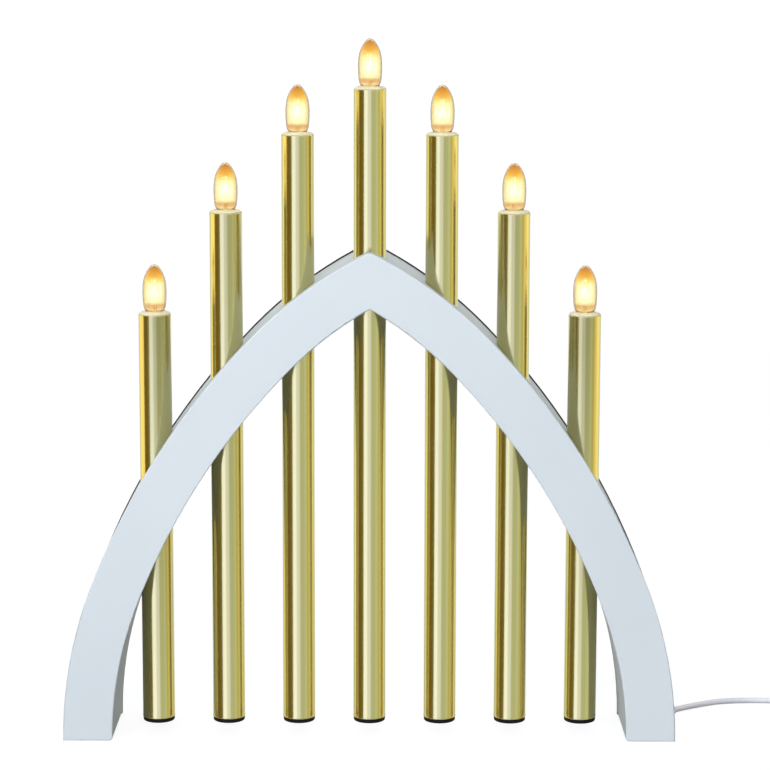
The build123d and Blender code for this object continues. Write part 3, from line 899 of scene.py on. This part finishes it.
# %% Helpers for patterns
def noise(tree, vector, scale, detail, roughness=0.5):
    node = tree.nodes.new("ShaderNodeTexNoise")
    node.inputs["Scale"].default_value = scale
    node.inputs["Detail"].default_value = detail
    node.inputs["Roughness"].default_value = roughness
    tree.links.new(vector, node.inputs["Vector"])
    return node.outputs["Fac"]


def ramp(tree, value, low, high, low_colour, high_colour):
    node = tree.nodes.new("ShaderNodeValToRGB")
    node.color_ramp.elements[0].position = low
    node.color_ramp.elements[1].position = high
    node.color_ramp.elements[0].color = (*low_colour, 1)
    node.color_ramp.elements[1].color = (*high_colour, 1)
    tree.links.new(value, node.inputs["Fac"])
    return node.outputs["Color"]


def span(tree, value, low, high, from_low=0.0, from_high=1.0):
    node = tree.nodes.new("ShaderNodeMapRange")
    node.inputs["From Min"].default_value = from_low
    node.inputs["From Max"].default_value = from_high
    node.inputs["To Min"].default_value = low
    node.inputs["To Max"].default_value = high
    tree.links.new(value, node.inputs["Value"])
    return node.outputs["Result"]


def bump(tree, shader, height, strength, distance):
    node = tree.nodes.new("ShaderNodeBump")
    node.inputs["Strength"].default_value = strength
    node.inputs["Distance"].default_value = distance
    tree.links.new(height, node.inputs["Height"])
    tree.links.new(node.outputs["Normal"], shader.inputs["Normal"])


print("pattern helpers ready")

# %% [markdown]
# The arch is sprayed with a cool white satin paint. Close up the paint has a fine orange
# peel and faint rub marks, and it is a touch greyer where more of the board shows through.

# %% Painted wood
def painted_wood():
    material, tree, shader = finish("cool white paint", {"Specular IOR Level": 0.06})
    vector = coordinates(tree)
    broad = noise(tree, vector, scale=9.0, detail=2.0)
    greyer, whiter = (0.695, 0.758, 0.802), (0.735, 0.797, 0.838)
    tone = ramp(tree, broad, 0.3, 0.7, greyer, whiter)
    tree.links.new(tone, shader.inputs["Base Color"])
    peel = noise(tree, vector, scale=900.0, detail=2.0)
    bump(tree, shader, peel, strength=0.12, distance=0.0002)
    rub = noise(tree, vector, scale=60.0, detail=4.0, roughness=0.6)
    satin = span(tree, rub, low=0.42, high=0.54, from_low=0.3, from_high=0.7)
    tree.links.new(satin, shader.inputs["Roughness"])
    return material


paint = painted_wood()
print("finish", paint.name)

# %% [markdown]
# The back cover is dark pressed board. Its fibres lie in every direction, so one fine
# noise of many sizes mixes a brown-black tone and raises the fibres a little. The smooth
# side still has a low sheen.

# %% Dark pressed board
def pressed_board():
    plain = {"Roughness": 0.72, "Specular IOR Level": 0.2}
    material, tree, shader = finish("dark pressed board", plain)
    fibres = noise(tree, coordinates(tree), scale=260.0, detail=6.0, roughness=0.7)
    black_brown, brown = (0.014, 0.011, 0.009), (0.052, 0.040, 0.030)
    tone = ramp(tree, fibres, 0.3, 0.75, black_brown, brown)
    tree.links.new(tone, shader.inputs["Base Color"])
    bump(tree, shader, fibres, strength=0.35, distance=0.0003)
    return material


board = pressed_board()
print("finish", board.name)

# %% [markdown]
# The tubes are brass coloured: rolled metal under a thin lacquer. They were polished on a
# lathe, so the finest scratches run round the tube and smear what it mirrors up and down
# into long streaks. That is anisotropy: its tangent goes round the tube's own axis, and
# a quarter turn of rotation lays the blur along the length. Rolling also leaves faint
# lines along the tube, a noise stretched on Z that drives a very low bump.

# %% Brass coloured tubes
def rolled_brass():
    material, tree, shader = finish("rolled brass", {
        "Metallic": 1.0, "Anisotropic": 0.6, "Anisotropic Rotation": 0.25,
        "Coat Weight": 0.15, "Coat Roughness": 0.08,
    })
    along = coordinates(tree, (1, 1, 0.015))
    lines = noise(tree, along, scale=380.0, detail=1.0)
    cloud = noise(tree, coordinates(tree), scale=35.0, detail=4.0, roughness=0.55)
    duller, brighter = (0.600, 0.545, 0.250), (0.640, 0.580, 0.272)
    tone = ramp(tree, cloud, 0.25, 0.75, duller, brighter)
    tree.links.new(tone, shader.inputs["Base Color"])
    lacquer = span(tree, cloud, low=0.20, high=0.25, from_low=0.3, from_high=0.7)
    tree.links.new(lacquer, shader.inputs["Roughness"])
    round_tube = tree.nodes.new("ShaderNodeTangent")
    round_tube.direction_type = "RADIAL"
    round_tube.axis = "Z"
    tree.links.new(round_tube.outputs["Tangent"], shader.inputs["Tangent"])
    bump(tree, shader, lines, strength=0.5, distance=0.00004)
    return material


brass = rolled_brass()
for tube in tubes:
    tube.data.materials.append(brass)
print("finish", brass.name, "on", len(tubes), "tubes")

# %% [markdown]
# Plastics come in three kinds here: black for the end plugs, cream for the lamp holders
# and white for the lead and the mains plug. All three have a fine moulded grain, and the
# cream one lets some light through, so the collar under a lit bulb glows a little.

# %% Moulded plastics
light_inside = {
    "Subsurface Weight": 0.6, "Subsurface Scale": 0.002,
    "Subsurface Radius": (1.0, 0.85, 0.65),
}


def moulded(name, plain, dark, pale, grain, grain_height):
    material, tree, shader = finish(name, plain)
    speck = noise(tree, coordinates(tree), scale=grain, detail=3.0, roughness=0.6)
    tree.links.new(ramp(tree, speck, 0.3, 0.7, dark, pale), shader.inputs["Base Color"])
    bump(tree, shader, speck, strength=0.25, distance=grain_height)
    return material


black = moulded(
    "black plastic", {"Roughness": 0.60, "Specular IOR Level": 0.15},
    (0.005, 0.005, 0.005), (0.010, 0.010, 0.011), grain=1400.0, grain_height=0.00005,
)
cream = moulded(
    "cream plastic", {"Roughness": 0.45, **light_inside},
    (0.90, 0.80, 0.53), (0.93, 0.84, 0.58), grain=700.0, grain_height=0.00004,
)
white = moulded(
    "white plastic", {"Roughness": 0.38},
    (0.81, 0.82, 0.87), (0.86, 0.87, 0.92), grain=800.0, grain_height=0.00006,
)
for plug in end_plugs:
    plug.data.materials.append(black)
for holder in holders:
    holder.data.materials.append(cream)
cord_curve.materials.append(white)
bush.data.materials.append(white)
pin_sleeves.data.materials.append(black)
print("plastic finishes", black.name, cream.name, white.name)

# %% [markdown]
# Three bare metals: nickelled lamp caps, brass contact shells and zinc plated screws.
# They share one graph with different tones. Fine scratches come from a stretched noise.

# %% Bare metals
duller_by = 0.08
shinier_by = 0.06


def bare_metal(name, dark, pale, roughness):
    material, tree, shader = finish(name, {"Metallic": 1.0})
    vector = coordinates(tree, (1, 1, 6))
    scratch = noise(tree, vector, scale=900.0, detail=4.0, roughness=0.65)
    tree.links.new(ramp(tree, scratch, 0.3, 0.7, dark, pale), shader.inputs["Base Color"])
    polish = span(tree, scratch, roughness - shinier_by, roughness + duller_by)
    tree.links.new(polish, shader.inputs["Roughness"])
    bump(tree, shader, scratch, strength=0.08, distance=0.00005)
    return material


nickel = bare_metal(
    "nickelled cap", (0.62, 0.60, 0.56), (0.74, 0.72, 0.68), roughness=0.26
)
contact_brass = bare_metal(
    "stamped contact brass", (0.62, 0.47, 0.24), (0.76, 0.60, 0.33), roughness=0.30
)
zinc = bare_metal(
    "zinc plated steel", (0.50, 0.51, 0.52), (0.66, 0.67, 0.68), roughness=0.34
)
for cap in lamp_caps:
    cap.data.materials.append(nickel)
shells.data.materials.append(contact_brass)
pins.data.materials.append(nickel)
print("metal finishes", nickel.name, contact_brass.name, zinc.name)

# %% [markdown]
# Clear glass is the shader's transmission. Towards the edge, where a ray meets it at a
# slant, its colour turns amber and it lets less through: painted light, the lamp's glow
# painted into the glass's edge. The lit filament is plain emission, and the glow skins lay
# warm light over what is behind them.

# %% Clear glass
# The sockets of the Mix node when it mixes colours
mix_factor, mix_first, mix_second, mix_result = 0, 6, 7, 2


def colour_mix(tree, factor):
    node = tree.nodes.new("ShaderNodeMix")
    node.data_type = "RGBA"
    tree.links.new(factor, node.inputs[mix_factor])
    return node


def clear_glass():
    material, tree, shader = finish("clear bulb glass", {"Roughness": 0.0, "IOR": 1.3})
    ripple = noise(tree, coordinates(tree), scale=120.0, detail=2.0)
    warm, pale = (0.99, 0.94, 0.82), (1.0, 0.97, 0.88)
    middle_tone = ramp(tree, ripple, 0.2, 0.8, warm, pale)
    facing = tree.nodes.new("ShaderNodeLayerWeight")
    facing.inputs["Blend"].default_value = 0.5
    slant = facing.outputs["Facing"]
    # Painted light: the amber edge colour and the lower transmission stand for the lamp's
    # glow in the glass
    painted_amber_edge = span(tree, slant, low=0.0, high=1.0, from_low=0.34, from_high=0.78)
    blend = colour_mix(tree, painted_amber_edge)
    blend.inputs[mix_second].default_value = (0.40, 0.19, 0.03, 1)
    tree.links.new(middle_tone, blend.inputs[mix_first])
    tree.links.new(blend.outputs[mix_result], shader.inputs["Base Color"])
    opening = span(tree, slant, low=1.0, high=0.15, from_low=0.40, from_high=0.85)
    tree.links.new(opening, shader.inputs["Transmission Weight"])
    bump(tree, shader, ripple, strength=0.05, distance=0.0002)
    return material


glass_finish = clear_glass()
for piece in glasses:
    piece.data.materials.append(glass_finish)
print("finish", glass_finish.name)

# %% Filament and stem
def hot_wire():
    plain = {"Base Color": (0.9, 0.8, 0.6, 1), "Emission Strength": 60.0}
    material, tree, shader = finish("white-hot wire", plain)
    heat = noise(tree, coordinates(tree), scale=500.0, detail=1.0)
    tone = ramp(tree, heat, 0.2, 0.8, (1.0, 0.80, 0.45), (1.0, 0.88, 0.60))
    tree.links.new(tone, shader.inputs["Emission Color"])
    return material


def stem_glass():
    plain = {"Roughness": 0.15, "Transmission Weight": 0.6}
    material, tree, shader = finish("pressed stem glass", plain)
    cloud = noise(tree, coordinates(tree), scale=300.0, detail=2.0)
    tone = ramp(tree, cloud, 0.2, 0.8, (0.80, 0.62, 0.42), (0.92, 0.78, 0.58))
    tree.links.new(tone, shader.inputs["Base Color"])
    return material


wire_finish = hot_wire()
stem_finish = stem_glass()
for piece in filaments:
    piece.data.materials.append(wire_finish)
for piece in mounts:
    piece.data.materials.append(stem_finish)
print("finishes", wire_finish.name, "and", stem_finish.name)

# %% Glow
# What a skin or a card is made of: it gives light and mirrors nothing
only_light = {
    "Base Color": (0, 0, 0, 1), "Specular IOR Level": 0.0, "Emission Strength": 1.0,
}


def glow_skin(layer, stops):
    # Tint and strength change along the piece's own height
    material, tree, shader = finish(f"glow {layer}", {**only_light, "Roughness": 1.0})
    tones = tree.nodes.new("ShaderNodeValToRGB")
    marks = tones.color_ramp.elements
    for mark, (at, tint, strength) in zip((marks[0], marks[1]), (stops[0], stops[-1])):
        mark.position = at
        mark.color = (*tint, strength)
    for at, tint, strength in stops[1:-1]:
        marks.new(at).color = (*tint, strength)
    tree.links.new(along_axis(tree, "Generated", "Z"), tones.inputs["Fac"])
    tree.links.new(tones.outputs["Color"], shader.inputs["Emission Color"])
    tree.links.new(tones.outputs["Alpha"], shader.inputs["Alpha"])
    return material


for layer, *_, stops in glow_layers:
    skin = glow_skin(layer, stops)
    for piece in glows[layer]:
        piece.data.materials.append(skin)
print("glow finishes", len(glow_layers))

# %% [markdown]
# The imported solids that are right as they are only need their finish. Assigning it to the
# material slot of each object keeps the mesh untouched. The solids that a finer piece
# stands for get the same finish as that piece, so none of them is left without one.

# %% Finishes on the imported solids
def dress(node, material):
    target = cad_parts[node]
    if not target.data.materials:
        target.data.materials.append(material)
    for slot in target.material_slots:
        slot.link = "OBJECT"
        slot.material = material


finishes = {
    "arch_front_board": paint, "arch_middle_board": paint, "arch_rear_board": paint,
    "back_cover": board, "cover_screws": zinc, "clamp_screws": zinc,
    "cord_clamp": white, "plug_body": white, "wiring": white, "cord_bush": white,
    "cord_lead": white, "cord_coil": white, "cord_tail": white,
    "plug_pins": nickel, "socket_shells": contact_brass,
}
for index in range(1, tube_count + 1):
    finishes[f"tube_{index}"] = brass
    finishes[f"tube_cap_{index}"] = black
    finishes[f"lamp_holder_{index}"] = cream
    finishes[f"bulb_glass_{index}"] = glass_finish
    finishes[f"bulb_base_{index}"] = nickel
    finishes[f"bulb_filament_{index}"] = stem_finish
for node, material in finishes.items():
    dress(node, material)
print("dressed nodes", len(finishes), "of", len(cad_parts))

# %% [markdown]
# Every piece now rides on the body that carries it, so a bulb's glass, cap, filament and
# glow lift together when it is unscrewed.

# %% Pieces ride on their bodies
for piece in tubes + end_plugs + holders + [shells, bush, pins, pin_sleeves, cord]:
    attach(piece, "arch")
for index in range(tube_count):
    parts = [glasses[index], lamp_caps[index], mounts[index], filaments[index]]
    parts += [glows[layer][index] for layer in glows]
    for piece in parts:
        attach(piece, f"bulb_{index + 1}")
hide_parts("cord_lead", "cord_coil", "cord_tail")
print("pieces that ride on each bulb", len(parts))

# %% [markdown]
# The photograph is a product picture on white. The floor throws little light back, and
# keeps the object's faint shadow. For camera, mirror and glass rays the floor and the
# world add light of their own, so the background reaches white without more light on the
# object. Near the lamp that added light is a little less, so that the shadow shows.

# %% Helpers for the background
def maths(tree, operation, first, second):
    node = tree.nodes.new("ShaderNodeMath")
    node.operation = operation
    tree.links.new(first, node.inputs[0])
    tree.links.new(second, node.inputs[1])
    return node.outputs[0]


def white_rays(tree):
    # One for camera, glossy and transmission rays, nothing for the rest
    path = tree.nodes.new("ShaderNodeLightPath")
    seen, mirrored = path.outputs["Is Camera Ray"], path.outputs["Is Glossy Ray"]
    either = maths(tree, "MAXIMUM", seen, mirrored)
    return maths(tree, "MAXIMUM", either, path.outputs["Is Transmission Ray"])


print("background helpers ready")

# %% Floor
floor_reach = 250.0
floor_mesh = bpy.data.meshes.new("floor")
sides = [(-1, -1), (1, -1), (1, 1), (-1, 1)]
corners = [(x * floor_reach, y * floor_reach, 0) for x, y in sides]
floor_mesh.from_pydata(corners, [], [(0, 1, 2, 3)])
floor = bpy.data.objects.new("floor", floor_mesh)
scene.collection.objects.link(floor)
floor_paper, tree, shader = finish("pale paper floor", {
    "Base Color": (0.21, 0.21, 0.22, 1), "Roughness": 0.95, "Specular IOR Level": 0.1,
    "Emission Color": (1, 1, 1, 1),
})
source = tree.nodes.new("ShaderNodeTexCoord")
reach = tree.nodes.new("ShaderNodeVectorMath")
reach.operation = "LENGTH"
tree.links.new(source.outputs["Object"], reach.inputs[0])
distance = reach.outputs["Value"]
lift = span(tree, distance, low=0.88, high=1.0, from_low=0.7, from_high=4.0)
tree.links.new(
    maths(tree, "MULTIPLY", white_rays(tree), lift), shader.inputs["Emission Strength"]
)
floor_mesh.materials.append(floor_paper)
floor.visible_glossy = False
print("floor reaches", floor_reach)

# %% World
cool_daylight = (0.88, 0.96, 1.07, 1)
world = bpy.data.worlds.new("studio")
scene.world = world
world.use_nodes = True
tree = world.node_tree
background = tree.nodes["Background"]
rays = white_rays(tree)
from_left = along_axis(tree, "Generated", "X")
ambient = span(tree, from_left, low=0.40, high=0.09, from_low=-1.0, from_high=1.0)
strength = tree.nodes.new("ShaderNodeMix")
strength.data_type = "FLOAT"
strength.inputs["B"].default_value = 1.0
tree.links.new(rays, strength.inputs["Factor"])
tree.links.new(ambient, strength.inputs["A"])
tree.links.new(strength.outputs["Result"], background.inputs["Strength"])
tone = colour_mix(tree, rays)
tone.inputs[mix_first].default_value = cool_daylight
tone.inputs[mix_second].default_value = (1, 1, 1, 1)
tree.links.new(tone.outputs[mix_result], background.inputs["Color"])
print("world tint", cool_daylight)

# %% [markdown]
# The lamps are large and soft. The strongest hangs above the camera and lights the front
# evenly. A tall narrow one stands to the left of the camera, so the right leg's inner
# side is brighter than the left leg's, as in the photograph. Two weak ones lift the left
# side and the arch's top. The metal mirrors none of them.

# %% Lamps
lamps_aim = (0, 0, 0.2)
# Name, place, width, height and power
lamp_rows = [
    ("main_lamp", (-0.90, -1.60, 0.62), 0.3, 1.2, 12.0),
    ("front_lamp", (0.2, -2.4, 1.3), 1.2, 0.8, 38.0),
    ("side_lamp", (-1.9, 0.25, 0.8), 0.6, 1.2, 2.5),
    ("top_lamp", (0.1, 0.2, 2.0), 1.2, 1.0, 8.5),
]


def soft_lamp(name, place, width, height, power):
    data = bpy.data.lights.new(name, "AREA")
    data.shape = "RECTANGLE"
    data.size = width
    data.size_y = height
    data.energy = power
    lamp = bpy.data.objects.new(name, data)
    lamp.location = place
    look = Vector(lamps_aim) - Vector(place)
    lamp.rotation_euler = look.to_track_quat("-Z", "Y").to_euler()
    lamp.visible_glossy = False
    scene.collection.objects.link(lamp)
    return lamp


lamps = [soft_lamp(*row) for row in lamp_rows]
scene.view_settings.view_transform = "Standard"
print("lamps", len(lamps))

# %% [markdown]
# Polished tubes look alive only when they have something to mirror. A photographer stands
# dark and pale cards round a piece of metal for that. Here the cards show in reflections
# alone: they throw no shadow, light nothing, and no camera sees them. Each card covers
# a range of bearings round the lamp: 0 is towards the camera, positive to the right.

# %% Tones of the cards
card_tints = {
    "cool": (0.94, 1.0, 1.42), "plain": (0.92, 1.0, 0.86), "olive": (1.06, 1.0, 0.48),
    "gold": (1.26, 1.0, 0.46), "straw": (1.16, 1.0, 0.56), "rust": (1.75, 1.0, 0.05),
}
# Name, first and last bearing, level and tint below, level and tint above
card_rows = [
    ("left_rim", -125, -84, 0.45, "olive", 1.42, "gold"),
    ("left_dark", -84, -56, 0.16, "olive", 0.15, "rust"),
    ("left_middle", -56, -42, 0.45, "olive", 0.18, "olive"),
    ("left_bright", -42, -16, 0.70, "cool", 1.78, "cool"),
    ("front_left", -16, 9, 0.36, "plain", 1.30, "cool"),
    ("front_right", 9, 42, 0.24, "plain", 0.85, "plain"),
    ("right_pale", 42, 60, 0.22, "olive", 0.98, "plain"),
    ("right_dim", 60, 76, 0.20, "olive", 0.76, "olive"),
    ("right_edge", 76, 93, 0.42, "olive", 1.00, "gold"),
    ("right_rim", 93, 125, 0.45, "olive", 1.34, "straw"),
    ("back_right", 125, 150, 0.45, "plain", 0.90, "plain"),
    ("back_left", -150, -125, 0.45, "plain", 0.90, "plain"),
]
print("card rows", len(card_rows))

# %% Cards for the metal to mirror
card_distance = 1.2
card_low = -1.5
card_high = 0.9
card_face_bearing = 6
fade_low = -0.38
fade_high = -0.10


def card_mesh(name, first, last):
    steps = max(2, int((last - first) / card_face_bearing))
    corners, faces = [], []
    for k in range(steps + 1):
        angle = math.radians(first + (last - first) * k / steps)
        foot = (math.sin(angle) * card_distance, -math.cos(angle) * card_distance)
        corners += [(*foot, card_low), (*foot, card_high)]
    for k in range(steps):
        faces.append((2 * k, 2 * k + 2, 2 * k + 3, 2 * k + 1))
    mesh = bpy.data.meshes.new(name)
    mesh.from_pydata(corners, [], faces)
    return mesh


def tone_card(name, first, last, low_level, low_tint, high_level, high_tint):
    mesh = card_mesh(name, first, last)
    card = bpy.data.objects.new(name, mesh)
    scene.collection.objects.link(card)
    material, tree, shader = finish(name, only_light)
    up = along_axis(tree, "Object", "Z")
    height = span(tree, up, low=0.0, high=1.0, from_low=fade_low, from_high=fade_high)
    low_tone = [low_level * part for part in card_tints[low_tint]]
    high_tone = [high_level * part for part in card_tints[high_tint]]
    tone = ramp(tree, height, 0.0, 1.0, low_tone, high_tone)
    tree.links.new(tone, shader.inputs["Emission Color"])
    mesh.materials.append(material)
    card.visible_camera = False
    card.visible_diffuse = False
    card.visible_shadow = False
    card.visible_transmission = False
    return card


cards = [tone_card(*row) for row in card_rows]
print("cards", len(cards))
